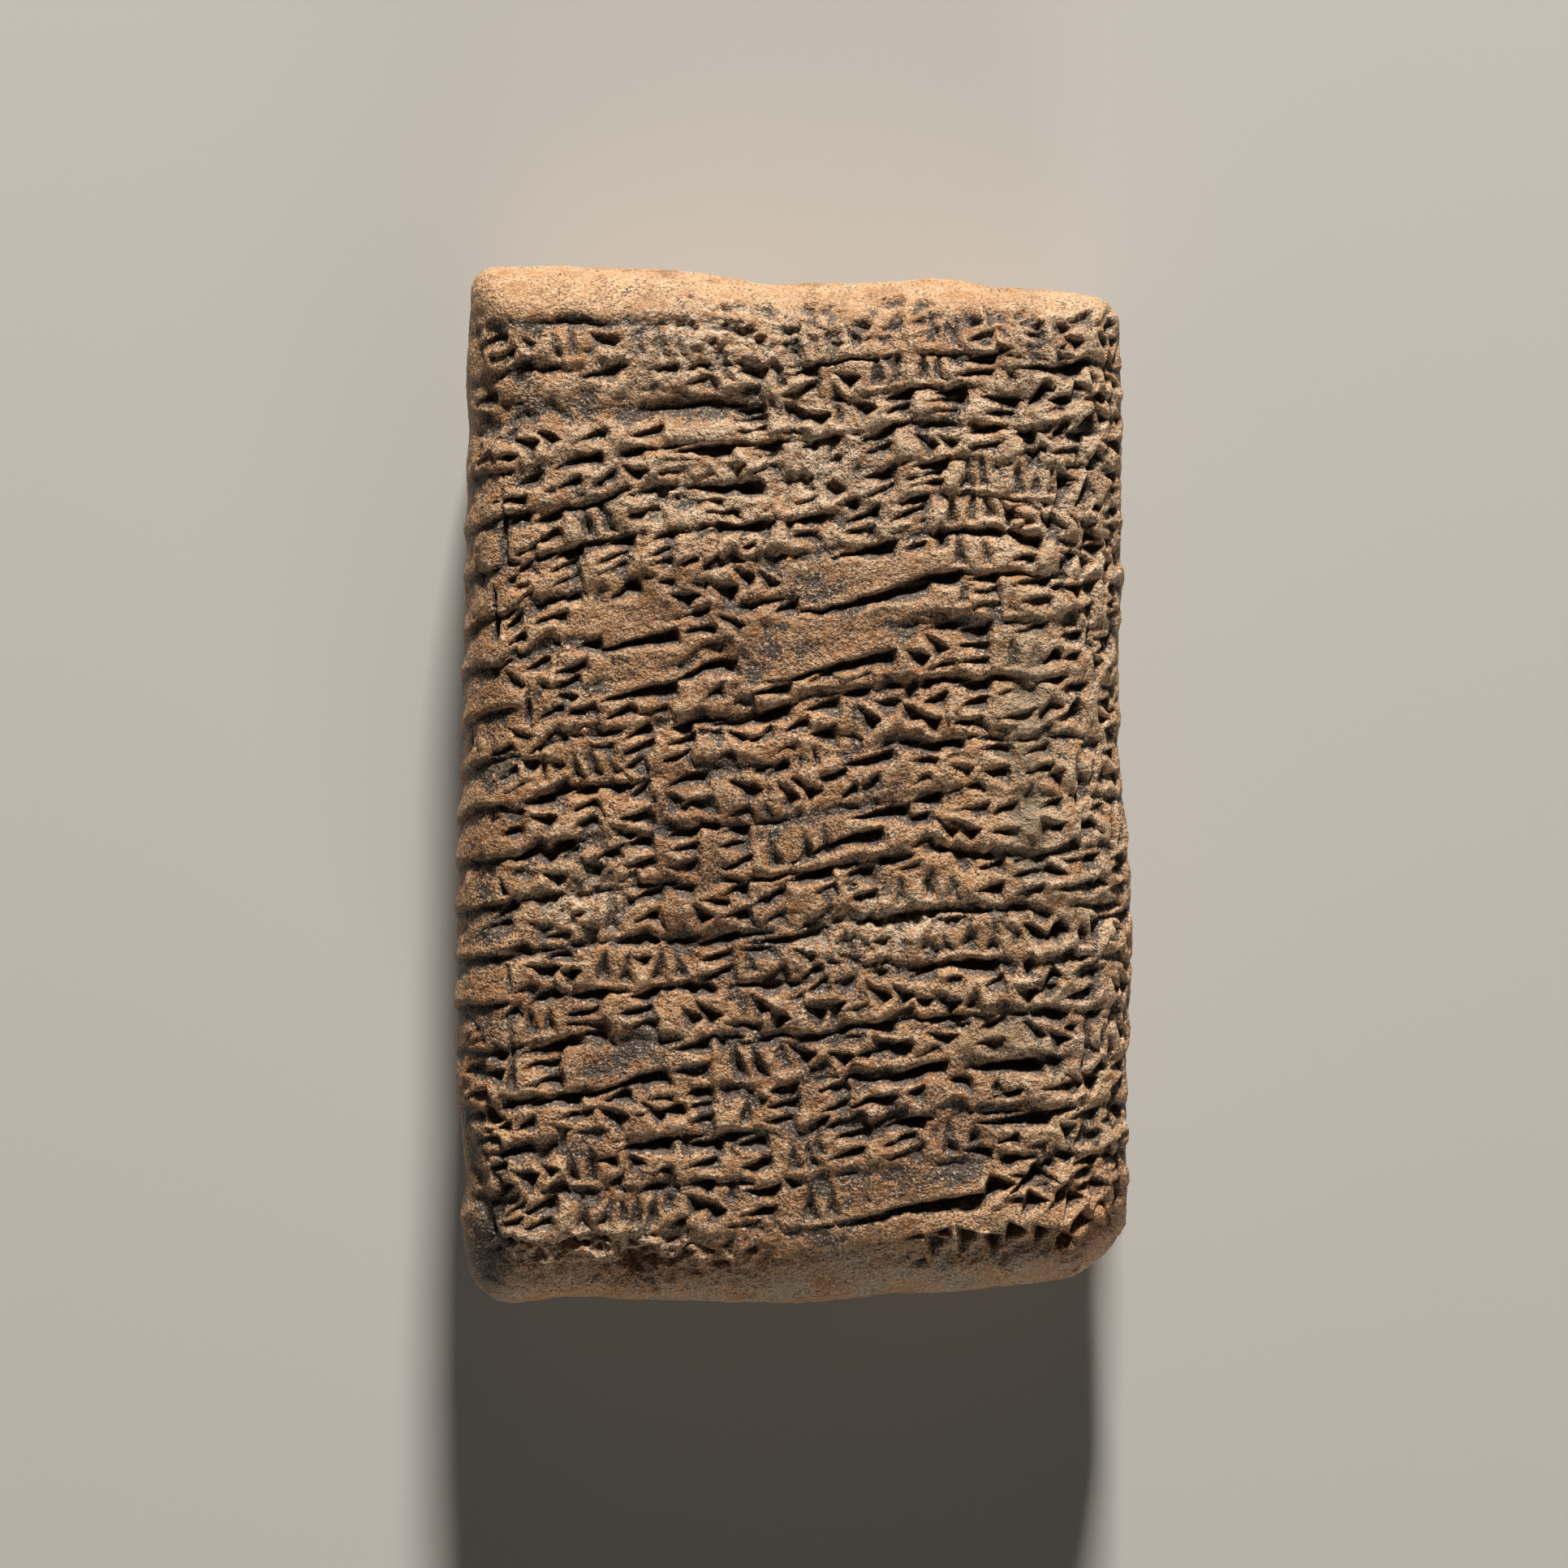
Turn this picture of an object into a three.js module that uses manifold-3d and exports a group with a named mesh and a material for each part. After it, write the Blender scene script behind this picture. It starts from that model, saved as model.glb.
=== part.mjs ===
// A clay tablet, pressed all over with a wedge-ended stylus while it was soft, then dried hard.
// It lies on its back. Millimetres: +Z points out of the written face, +Y to its straight upper
// edge, and the broken corner is at +X, -Y. The strokes stand in rows, as writing does, but they
// are signs of no script. The face stands upside down here: its writing starts at the lower right.
import * as THREE from 'three';
import { mergeVertices } from 'three/addons/utils/BufferGeometryUtils.js';
import Module from 'manifold-3d';

const { lerp, clamp, degToRad } = THREE.MathUtils;
const wasm = await Module();
wasm.setup();

// ---- Driving dimensions: the lump of clay -------------------------------------------------------

const halfWidth = 34;
const halfLength = 52.2;
const obverseRise = 12.1; // from the middle of the thickness up to the rim of the written face
const reverseDrop = 11.4; // and down to the rim of the back
const obverseCrown = 1.1; // how far the written face swells above its rim
const reverseCrown = 3.4; // how far the back would swell
const reverseFlat = 2.5; // and how far it does, flattened where the clay was laid down to dry

// How far each edge is rounded: across the face for the four sides, down the thickness for the faces.
const rounding = { left: 6.5, right: 11, foot: 8.5, head: 7.5, reverse: 9.5, obverse: 9.5 };
const cornerSquareness = 5; // 2 gives round corners in plan, a higher number squarer ones

// The four rims in plan, each as points of [place along the rim, where the rim is].
const leftRim = [[-54, -32.4], [-44, -33.4], [-40, -32.9], [-29, -34.1], [10, -33.4], [54, -32.5]];
const rightRim = [[-54, 33.7], [-30, 33.6], [-17, 34.1], [-6, 33.8], [2, 32.8], [22, 33], [54, 33.1]];
const footRim = [[-35, -51.6], [-29, -52.1], [-23, -51.5], [-17, -51.8], [0, -52.2], [9, -51.4], [35, -49.5]];
const headRim = [[-35, 52], [-26, 52.2], [-8, 51.3], [-3, 50.5], [8, 50.5], [15, 50.9], [22, 50], [35, 49.3]];

// The lower right corner is broken off: clay beyond these planes is gone.
const breaks = [
  { outward: [0.7, -0.66, 0.28], distance: 52.4 },
  { outward: [0.3, -0.9, 0.32], distance: 53.0 },
];

const facets = { x: 10, y: 16, z: 1 }; // across the flat middle of each side
const edgeFacets = 4; // around each rounded edge

// ---- Driving dimensions: the writing ------------------------------------------------------------

const rowCount = 19;
const headLine = 45.4; // the line above the top row, at the left rim
const footLine = -46.2; // the line below the bottom one
// Along the clay, so the right ends run down over the edge. Each row is written from right to left.
const rowStart = 38;
const rowEnd = -31;
const marginRows = { first: 3, last: 14, end: -27.5 }; // these stop at the scored margin line
// The rows climb to the right, most steeply in the upper half. [row counted from the top, climb]
const rowClimb = [[0, 2.5], [2.6, 5.6], [7.3, 10.4], [10, 8], [14, 4.2], [19, 3]];
const climbLength = 48;

// Rubbed and blank places that hold no strokes: centre and half sizes along the clay.
const blanks = [
  { s: -25, t: 49, halfS: 10, halfT: 4.5 }, // the bare shoulder at the upper left
  { s: -17, t: 38, halfS: 14, halfT: 2.6 }, // a row that was rubbed out
  { s: 5.5, t: 14.8, halfS: 8, halfT: 2.9 },
  { s: 7, t: 21, halfS: 8, halfT: 2.4 },
  { s: -16, t: 16.2, halfS: 5, halfT: 2.2 },
  { s: -15, t: 10.8, halfS: 5, halfT: 2.2 },
  { s: 4, t: -3.6, halfS: 6, halfT: 2.4 },
  { s: -16, t: -27.6, halfS: 5, halfT: 2.4 },
  { s: 10, t: -40.6, halfS: 10, halfT: 2.4 },
];

// Strokes drawn out below those blanks, from their wide right ends. [s, t, length, turn in degrees]
const longStrokes = [
  [14.2, 20.1, 15.5, 191], [10.6, 13, 14.9, 188], [-11.2, 15, 9.6, 192], [-11.2, 9.8, 8.4, 192],
  [9.8, -4.8, 11.4, 190], [-17.4, -24.8, 6.6, 195], [-11.8, -28.6, 8.7, 195], [-10.2, -32.4, 5.6, 185],
  [12.2, -26.4, 6.8, 185], [10.6, -31.6, 6, 186], [19.8, -42.4, 18, 184],
];
const longWidth = 1.4;
const longDepth = 1.3;

// The scored line that keeps the left margin, in stretches from their lower ends. [s, t, length]
const marginLine = [
  [-29.4, 21.7, 10.8], [-30.4, 14.2, 6.5], [-26.2, 6.2, 5.2], [-25, -0.2, 5.6],
  [-28.4, -11.4, 2.8], [-28, -21.4, 4.4], [-27.4, -30.6, 8],
];
const marginTurn = 94;
const marginWidth = 0.9;
const marginDepth = 0.8;

// The tablet was turned end over end to write on its back, where the text ends in a few short rows.
const backRows = { count: 4, start: -24, end: 14, headLine: 44.5, footLine: 25.5 };

// ---- The clay -----------------------------------------------------------------------------------

// A smooth line through points of [place, value].
function along(points, place) {
  const last = points.length - 1;
  let i = 0;
  while (i < last - 1 && place > points[i + 1][0]) i += 1;
  const [from, to] = [points[i], points[i + 1]];
  const before = points[Math.max(i - 1, 0)];
  const after = points[Math.min(i + 2, last)];
  const span = to[0] - from[0];
  const startSlope = ((to[1] - before[1]) / (to[0] - before[0])) * span;
  const endSlope = ((after[1] - from[1]) / (after[0] - from[0])) * span;
  const f = clamp((place - from[0]) / span, 0, 1);
  const rise = to[1] - from[1];
  const bend = 3 * rise - 2 * startSlope - endSlope;
  return from[1] + f * (startSlope + f * (bend + f * (startSlope + endSlope - 2 * rise)));
}

// Per axis: the flat middle that the rounded edges are wrapped around, and the two rounding radii.
const middle = {
  x: [-halfWidth + rounding.left, halfWidth - rounding.right],
  y: [-halfLength + rounding.foot, halfLength - rounding.head],
  z: [-reverseDrop + rounding.reverse, obverseRise - rounding.obverse],
};
const radii = {
  x: [rounding.left, rounding.right],
  y: [rounding.foot, rounding.head],
  z: [rounding.reverse, rounding.obverse],
};

// Steps out from a point of the flat middle to the skin, in the direction of the slopes given.
function wrap(inside, slope) {
  const power = cornerSquareness;
  const inPlan = (Math.abs(slope.x) ** power + Math.abs(slope.y) ** power) ** (1 / power);
  const reach = Math.hypot(inPlan, slope.z);
  const out = inside.clone();
  for (const axis of ['x', 'y', 'z']) {
    out[axis] += (slope[axis] / reach) * radii[axis][slope[axis] < 0 ? 0 : 1];
  }
  return out;
}

// Turns the even block into the hand-made one: wavy rims, swollen faces and the broken corner.
function shapeByHand(p) {
  const u = p.x / halfWidth;
  const v = p.y / halfLength;
  const swell = Math.max(0, 1 - u * u) * Math.max(0, 1 - v * v);
  const isBack = p.z < 0;
  const out = new THREE.Vector3(
    lerp(along(leftRim, p.y), along(rightRim, p.y), (1 + u) / 2),
    lerp(along(footRim, p.x), along(headRim, p.x), (1 + v) / 2),
    isBack ? Math.max(p.z - reverseCrown * swell, -reverseDrop - reverseFlat) : p.z + obverseCrown * swell,
  );
  for (const { outward, distance } of breaks) {
    const normal = new THREE.Vector3(...outward).normalize();
    out.addScaledVector(normal, -Math.max(0, out.dot(normal) - distance));
  }
  return out;
}

// A box with finely divided edges, each of its corners moved out to the skin.
function clayGeometry() {
  const half = edgeFacets / 2;
  const cells = { x: facets.x + edgeFacets, y: facets.y + edgeFacets, z: facets.z + edgeFacets };
  const geometry = new THREE.BoxGeometry(1, 1, 1, cells.x, cells.y, cells.z);
  const position = geometry.attributes.position;
  const corner = new THREE.Vector3();
  for (let i = 0; i < position.count; i += 1) {
    corner.fromBufferAttribute(position, i);
    const inside = new THREE.Vector3();
    const slope = new THREE.Vector3();
    for (const axis of ['x', 'y', 'z']) {
      const line = Math.round((corner[axis] + 0.5) * cells[axis]);
      const pastLow = Math.max(0, half - line) / half;
      const pastHigh = Math.max(0, line - half - facets[axis]) / half;
      inside[axis] = lerp(...middle[axis], clamp((line - half) / facets[axis], 0, 1));
      slope[axis] = Math.tan((pastHigh - pastLow) * (Math.PI / 4));
    }
    position.setXYZ(i, ...shapeByHand(wrap(inside, slope)));
  }
  return geometry;
}

// The place on the skin that is s to the right and t up from the middle of a face, as one looks at
// it, measured along the clay: past the flat middle it follows the rounded edge down.
function onSkin(s, t, face) {
  const steepest = 1.45;
  const x = face === 'back' ? -s : s;
  const inside = new THREE.Vector3(
    clamp(x, ...middle.x),
    clamp(t, ...middle.y),
    middle.z[face === 'back' ? 0 : 1],
  );
  const turnOver = (past, [low, high]) => clamp(past / (past < 0 ? low : high), -steepest, steepest);
  const slope = new THREE.Vector3(
    Math.tan(turnOver(x - inside.x, radii.x)),
    Math.tan(turnOver(t - inside.y, radii.y)),
    face === 'back' ? -1 : 1,
  );
  return shapeByHand(wrap(inside, slope));
}

// ---- The strokes --------------------------------------------------------------------------------

let seed = 20417;
function between(low, high) {
  seed = (seed * 16807) % 2147483647;
  return lerp(low, high, seed / 2147483647);
}

// One press of the stylus, as its reader sees it: where its head is (s from the start of the group,
// and down from 0 at the row's upper line to 1 at its lower), its turn in degrees, and its size.
function press(s, down, turn, length, width, depth) {
  return { s, down, turn, length, width, depth };
}

// Strokes stand in groups. Each kind gives its strokes and the width that it takes up in the row.
const groupKinds = {
  stack() {
    const count = Math.floor(between(2, 3.6));
    const length = between(3.2, 4.8);
    const strokes = [];
    for (let i = 0; i < count; i += 1) {
      const down = (i + 0.75) / (count + 0.4);
      strokes.push(press(between(-0.2, 0.4), down, between(-5, 5), length, 1.5, 0.9));
    }
    return { strokes, width: length + 0.4 };
  },
  uprights() {
    const count = Math.floor(between(1, 3.4));
    const pitch = between(1.8, 2.3);
    const strokes = [];
    for (let i = 0; i < count; i += 1) {
      strokes.push(press(0.8 + i * pitch, 0.14, between(-98, -84), between(3.4, 4), 1.8, 1.15));
    }
    return { strokes, width: 0.4 + count * pitch };
  },
  slants() {
    const count = Math.floor(between(1, 2.7));
    const strokes = [];
    for (let i = 0; i < count; i += 1) {
      const down = between(0.15, 0.4);
      strokes.push(press(0.4 + i * 1.9, down, between(-58, -30), between(2.6, 3.6), 1.8, 1.1));
    }
    return { strokes, width: 1.6 + count * 1.9 };
  },
  long() {
    const length = between(5.5, 9);
    const stroke = press(0, between(0.72, 0.88), between(-2, 3), length, 1.6, 1.2);
    return { strokes: [stroke], width: length + 0.4 };
  },
};
const groupOrder = ['stack', 'uprights', 'stack', 'slants', 'uprights', 'stack', 'slants', 'long'];

// How high the line above a row is at a place s along it.
function rowLine(row, s) {
  const climb = along(rowClimb, row) * Math.sin((1.35 * (s - rowEnd)) / climbLength);
  return lerp(headLine, footLine, row / rowCount) + climb;
}

function isBlank({ s, t }) {
  return blanks.some((blank) => Math.abs(s - blank.s) < blank.halfS && Math.abs(t - blank.t) < blank.halfT);
}

// Fills one row with groups, from its start to its end. line(row, s) gives the rows' upper lines.
// A row whose start is on the right is written upside down.
function rowOfStrokes(row, line, start, end, face) {
  const way = Math.sign(end - start);
  const strokes = [];
  let s = start + way * between(0, 1.5);
  for (;;) {
    const kind = groupOrder[Math.floor(between(0, groupOrder.length))];
    const group = groupKinds[kind]();
    if ((s - end) * way + group.width > 0) return strokes;
    for (const stroke of group.strokes) {
      const at = s + way * stroke.s;
      const down = way < 0 ? 1 - stroke.down : stroke.down;
      const t = lerp(line(row, at), line(row + 1, at), down);
      const lean = Math.atan(line(row, at + 1) - line(row, at));
      const turn = degToRad(stroke.turn + (way < 0 ? 180 : 0)) + lean;
      strokes.push({ ...stroke, s: at, t, turn, face });
    }
    s += way * (group.width + between(0.3, 1.2));
  }
}

function allStrokes() {
  const front = [];
  for (let row = 0; row < rowCount; row += 1) {
    const end = row < marginRows.first || row > marginRows.last ? rowEnd : marginRows.end;
    front.push(...rowOfStrokes(row, rowLine, rowStart, end, 'front'));
  }
  const backLine = (row) => lerp(backRows.headLine, backRows.footLine, row / backRows.count);
  const back = [];
  for (let row = 0; row < backRows.count; row += 1) {
    back.push(...rowOfStrokes(row, backLine, backRows.start, backRows.end, 'back'));
  }
  const long = longStrokes.map(([s, t, length, turn]) => (
    { s, t, length, turn: degToRad(turn), width: longWidth, depth: longDepth, face: 'front' }
  ));
  const margin = marginLine.map(([s, t, length]) => (
    { s, t, length, turn: degToRad(marginTurn), width: marginWidth, depth: marginDepth, face: 'front' }
  ));
  return [...front.filter((stroke) => !isBlank(stroke)), ...long, ...margin, ...back];
}

// The clay that one press of the stylus moved away: a pit with three walls, deepest near its wide
// head and running out to a point. The walls go on past the skin, so that the pit is open.
function pitGeometry({ s, t, turn, length, width, depth, face }) {
  const head = onSkin(s, t, face);
  const tip = onSkin(s + length * Math.cos(turn), t + length * Math.sin(turn), face);
  const toRight = onSkin(s + 0.5, t, face).sub(head);
  const toHead = onSkin(s, t + 0.5, face).sub(head);
  const outward = toRight.cross(toHead).normalize();
  const axis = tip.clone().sub(head);
  const side = outward.clone().cross(axis).setLength(width / 2);
  const bottom = head.clone().addScaledVector(axis, 0.2).addScaledVector(outward, -depth);
  const past = 1.4;
  const rim = [head.clone().add(side), head.clone().sub(side), tip];
  const corners = [...rim.map((corner) => corner.sub(bottom).multiplyScalar(past).add(bottom)), bottom];
  const geometry = new THREE.BufferGeometry();
  geometry.setAttribute('position', new THREE.Float32BufferAttribute(corners.flatMap((p) => [...p]), 3));
  geometry.setIndex([0, 1, 2, 1, 0, 3, 2, 1, 3, 0, 2, 3]);
  return geometry;
}

// ---- Making the tablet --------------------------------------------------------------------------

function solidOf(geometry) {
  const bare = geometry.clone();
  bare.deleteAttribute('normal');
  bare.deleteAttribute('uv');
  const merged = mergeVertices(bare);
  const vertProperties = Float32Array.from(merged.attributes.position.array);
  const triVerts = Uint32Array.from(merged.index.array);
  return new wasm.Manifold(new wasm.Mesh({ numProp: 3, vertProperties, triVerts }));
}

function geometryOf(solid) {
  const { vertProperties, triVerts } = solid.getMesh();
  const geometry = new THREE.BufferGeometry();
  geometry.setAttribute('position', new THREE.BufferAttribute(vertProperties, 3));
  geometry.setIndex(new THREE.BufferAttribute(triVerts, 1));
  geometry.computeVertexNormals();
  return geometry;
}

function tabletGeometry() {
  let solid = solidOf(clayGeometry());
  for (const stroke of allStrokes()) solid = solid.subtract(solidOf(pitGeometry(stroke)));
  const geometry = geometryOf(solid);
  geometry.computeBoundingBox();
  const { min, max } = geometry.boundingBox;
  geometry.translate(-(min.x + max.x) / 2, -(min.y + max.y) / 2, -min.z);
  return geometry;
}

const firedClay = new THREE.MeshStandardMaterial({ color: '#9a7656', roughness: 0.88, metalness: 0 });
const tablet = new THREE.Mesh(tabletGeometry(), firedClay);
tablet.name = 'tablet';

const group = new THREE.Group();
group.add(tablet);
export default group;
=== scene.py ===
"""A clay tablet covered with rows of wedge strokes, lying on its back on a pale floor.

The clay is worked out in millimetres and made in metres. +Z points out of the written face, +Y to
its upper edge, and the broken corner is at +X, -Y.
"""

import math

import bmesh
import bpy
import numpy as np
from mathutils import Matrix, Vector


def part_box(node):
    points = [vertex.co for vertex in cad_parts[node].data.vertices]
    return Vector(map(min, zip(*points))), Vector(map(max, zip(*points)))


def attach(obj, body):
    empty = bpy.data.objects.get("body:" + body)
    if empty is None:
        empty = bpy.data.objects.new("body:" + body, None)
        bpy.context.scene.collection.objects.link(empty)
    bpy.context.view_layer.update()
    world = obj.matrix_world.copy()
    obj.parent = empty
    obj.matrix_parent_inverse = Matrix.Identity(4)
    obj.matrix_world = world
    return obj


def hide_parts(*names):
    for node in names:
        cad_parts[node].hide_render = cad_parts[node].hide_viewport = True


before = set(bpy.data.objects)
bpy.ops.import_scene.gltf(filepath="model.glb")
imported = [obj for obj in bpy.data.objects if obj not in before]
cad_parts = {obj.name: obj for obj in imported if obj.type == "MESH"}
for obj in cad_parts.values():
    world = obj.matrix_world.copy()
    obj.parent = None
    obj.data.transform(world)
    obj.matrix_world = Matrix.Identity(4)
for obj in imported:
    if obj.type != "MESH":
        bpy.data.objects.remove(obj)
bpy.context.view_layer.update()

# ==== The tablet =================================================================================
# One lump of fine clay, patted into a pillow with straight sides, pressed flat where it lay, written
# on while it was damp, and dried or lightly fired. Its lower right corner has broken off since.

# ---- Its shape ----------------------------------------------------------------------------------
# Sizes in mm. A rim is given by points of (place along the edge, how far out the edge lies there).

MM = 0.001
HALF_WIDTH = 34
HALF_LENGTH = 52.2
FACE_RISE = 12.1
BACK_DROP = 11.4
FACE_CROWN = 1.1
BACK_CROWN = 3.4
BACK_FLAT = 2.5
CORNER_SQUARENESS = 5
# How far each edge is rounded, on its low and its high side.
ROUNDING = np.array([[6.5, 11], [8.5, 7.5], [9.5, 9.5]])
BLOCK = np.array([[-HALF_WIDTH, HALF_WIDTH], [-HALF_LENGTH, HALF_LENGTH], [-BACK_DROP, FACE_RISE]])
MIDDLE = BLOCK + ROUNDING * [1, -1]
LEFT_RIM = [[-54, -32.4], [-44, -33.4], [-40, -32.9], [-29, -34.1], [10, -33.4], [54, -32.5]]
RIGHT_RIM = [[-54, 33.7], [-30, 33.6], [-17, 34.1], [-6, 33.8], [2, 32.8], [22, 33], [54, 33.1]]
FOOT_RIM = [[-35, -51.6], [-29, -52.1], [-23, -51.5], [-17, -51.8], [0, -52.2], [9, -51.4], [35, -49.5]]
HEAD_RIM = [[-35, 52], [-26, 52.2], [-8, 51.3], [-3, 50.5], [8, 50.5], [15, 50.9], [22, 50], [35, 49.3]]
# The planes of the broken corner, which no clay stands past: the way each faces, and its distance.
BREAKS = [((0.7, -0.66, 0.28), 52.4), ((0.3, -0.9, 0.32), 53.0)]


def along(points, place):
    """A smooth line through points of (place, value), read at many places."""
    points = np.array(points, float)
    last = len(points) - 1
    i = np.clip(np.searchsorted(points[:, 0], place) - 1, 0, last - 1)
    before, start, end, after = (points[np.clip(i + step, 0, last)] for step in (-1, 0, 1, 2))
    span = end[..., 0] - start[..., 0]
    start_slope = (end[..., 1] - before[..., 1]) / (end[..., 0] - before[..., 0]) * span
    end_slope = (after[..., 1] - start[..., 1]) / (after[..., 0] - start[..., 0]) * span
    f = np.clip((place - start[..., 0]) / span, 0, 1)
    rise = end[..., 1] - start[..., 1]
    bend = 3 * rise - 2 * start_slope - end_slope
    return start[..., 1] + f * (start_slope + f * (bend + f * (start_slope + end_slope - 2 * rise)))


def wrap(inside, slope):
    """Steps out from points of the flat middle to the skin, in the direction of the slopes."""
    power = CORNER_SQUARENESS
    in_plan = (np.abs(slope[:, 0]) ** power + np.abs(slope[:, 1]) ** power) ** (1 / power)
    reach = np.hypot(in_plan, slope[:, 2])[:, None]
    return inside + slope / reach * np.where(slope < 0, ROUNDING[:, 0], ROUNDING[:, 1])


def shape_by_hand(points):
    """Turns the even block into the hand-made one: wavy rims, swollen faces, a broken corner."""
    x, y, z = points.T
    u, v = x / HALF_WIDTH, y / HALF_LENGTH
    swell = np.maximum(0, 1 - u * u) * np.maximum(0, 1 - v * v)
    left, right = along(LEFT_RIM, y), along(RIGHT_RIM, y)
    foot, head = along(FOOT_RIM, x), along(HEAD_RIM, x)
    back = np.maximum(z - BACK_CROWN * swell, -BACK_DROP - BACK_FLAT)
    height = np.where(z < 0, back, z + FACE_CROWN * swell)
    shaped = np.stack([left + (right - left) * (1 + u) / 2, foot + (head - foot) * (1 + v) / 2, height], 1)
    for outward, distance in BREAKS:
        normal = np.array(outward) / np.linalg.norm(outward)
        shaped -= np.maximum(0, shaped @ normal - distance)[:, None] * normal
    return shaped


# ---- Its writing --------------------------------------------------------------------------------
# Strokes pressed into the damp clay with the corner of a reed: each is a pit with three walls, wide
# and deep at its head and running out to a point, and the clay that it moved stands up round it.
# They are kept as a sheet of heights over each face, measured along the clay: s to the right and
# t up, as one looks at the face. Past the flat middle the sheet bends down over the edge.

ROW_COUNT = 19
HEAD_LINE, FOOT_LINE = 45.4, -46.2
ROW_START, ROW_END = 38, -31
MARGIN_ROWS, MARGIN_END = range(3, 15), -27.5
ROW_CLIMB = [[0, 2.5], [2.6, 5.6], [7.3, 10.4], [10, 8], [14, 4.2], [19, 3]]
CLIMB_LENGTH = 48
# Rubbed and blank places: centre and half sizes. All but the first two stayed plain slabs.
BLANKS = [
    (-25, 49, 10, 4.5), (-17, 38, 14, 2.6), (3.6, 15.1, 8.4, 3.2), (7, 21.1, 8, 2.4), (-16, 16.2, 5, 2.2),
    (-15, 10.8, 5, 2.2), (4, -3.6, 6, 2.4), (-16, -27.6, 5, 2.4), (10, -40.6, 10, 2.4),
]
PLAIN_SLABS = BLANKS[2:]
# Long strokes below the blanks, from their wide ends: s, t, length, turn in degrees.
LONG_STROKES = [
    (14.4, 19.9, 15.5, 188), (10.6, 13, 14.9, 188), (-11.2, 15, 9.6, 192), (-11.2, 9.8, 8.4, 192),
    (9.8, -4.8, 11.4, 190), (-17.4, -24.8, 6.6, 195), (-11.8, -28.6, 8.7, 195), (-10.2, -32.4, 5.6, 185),
    (12.2, -26.4, 6.8, 185), (10.6, -31.6, 6, 186), (19.8, -42.4, 18, 184),
]
LONG_STROKE = {"width": 2.1, "depth": 1.3}
# The scored line of the left margin, in stretches from their lower ends: s, t, length.
MARGIN_LINE = [
    (-29.4, 21.7, 10.8), (-30.4, 14.2, 6.5), (-26.2, 6.2, 5.2), (-25, -0.2, 5.6),
    (-28.4, -11.4, 2.8), (-28, -21.4, 4.4), (-27.4, -30.6, 8),
]
MARGIN_STROKE = {"turn": math.radians(94), "width": 1.1, "depth": 0.9}
# Large strokes down the right edge, in columns.
EDGE_COLUMNS, EDGE_START, EDGE_PITCH, EDGE_SCATTER = 3, 27.5, 4.2, 1.4
BACK_ROWS, BACK_START, BACK_END = 4, -24, 14
BACK_HEAD_LINE, BACK_FOOT_LINE = 44.5, 25.5

SHEET_CELL = 0.1
SHEET_HALF_S, SHEET_HALF_T = 46, 62
sheet_s = np.arange(-SHEET_HALF_S, SHEET_HALF_S, SHEET_CELL)
sheet_t = np.arange(-SHEET_HALF_T, SHEET_HALF_T, SHEET_CELL)

seed = 20417


def between(low, high):
    """The next number of the one run of chance that lays out the strokes."""
    global seed
    seed = seed * 16807 % 2147483647
    return low + (high - low) * seed / 2147483647


def press(s, down, turn, length, width, depth):
    """A stroke as its reader sees it: s from the group's start, down from the row's upper line."""
    return {"s": s, "down": down, "turn": turn, "length": length, "width": width, "depth": depth}


def stack():
    count, length = int(between(2, 3.6)), between(3.2, 4.8)
    places = [(i + 0.75) / (count + 0.4) for i in range(count)]
    strokes = [press(between(-0.2, 0.4), down, between(-5, 5), length, 2.3, 1.1) for down in places]
    return strokes, length + 0.4


def uprights():
    count, pitch = int(between(1, 3.4)), between(1.8, 2.3)
    places = [0.8 + i * pitch for i in range(count)]
    strokes = [press(s, 0.14, between(-98, -84), between(3.4, 4), 1.9, 1.0) for s in places]
    return strokes, 0.4 + count * pitch


def slants():
    count = int(between(1, 2.7))
    strokes = [
        press(0.4 + i * 1.9, between(0.15, 0.4), between(-58, -30), between(2.6, 3.6), 2.4, 1.3)
        for i in range(count)
    ]
    return strokes, 1.6 + count * 1.9


def drawn_out():
    length = between(5.5, 9)
    return [press(0, between(0.72, 0.88), between(-2, 3), length, 2.0, 1.3)], length + 0.4


GROUPS = [stack, uprights, stack, slants, uprights, stack, slants, drawn_out]


def row_line(row, s):
    """How high the line above a row is at places s along it."""
    climb = along(ROW_CLIMB, np.array(float(row))) * np.sin(1.35 * (s - ROW_END) / CLIMB_LENGTH)
    return HEAD_LINE + (FOOT_LINE - HEAD_LINE) * row / ROW_COUNT + climb


def back_line(row, s):
    return BACK_HEAD_LINE + (BACK_FOOT_LINE - BACK_HEAD_LINE) * row / BACK_ROWS + 0 * s


def row_of_strokes(row, line, start, end):
    """Fills a row with groups of strokes. One that starts on the right is written upside down."""
    way = math.copysign(1, end - start)
    strokes, s = [], start + way * between(0, 1.5)
    while True:
        group, width = GROUPS[int(between(0, len(GROUPS)))]()
        if (s - end) * way + width > 0:
            return strokes
        for stroke in group:
            at = s + way * stroke["s"]
            down = 1 - stroke["down"] if way < 0 else stroke["down"]
            t = line(row, at) * (1 - down) + line(row + 1, at) * down
            lean = math.atan(line(row, at + 1) - line(row, at))
            turn = math.radians(stroke["turn"] + (180 if way < 0 else 0)) + lean
            strokes.append({**stroke, "s": at, "t": t, "turn": turn})
        s += way * (width + between(0.3, 1.2))


def is_blank(s, t):
    return any(abs(s - cs) < half_s and abs(t - ct) < half_t for cs, ct, half_s, half_t in BLANKS)


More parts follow.
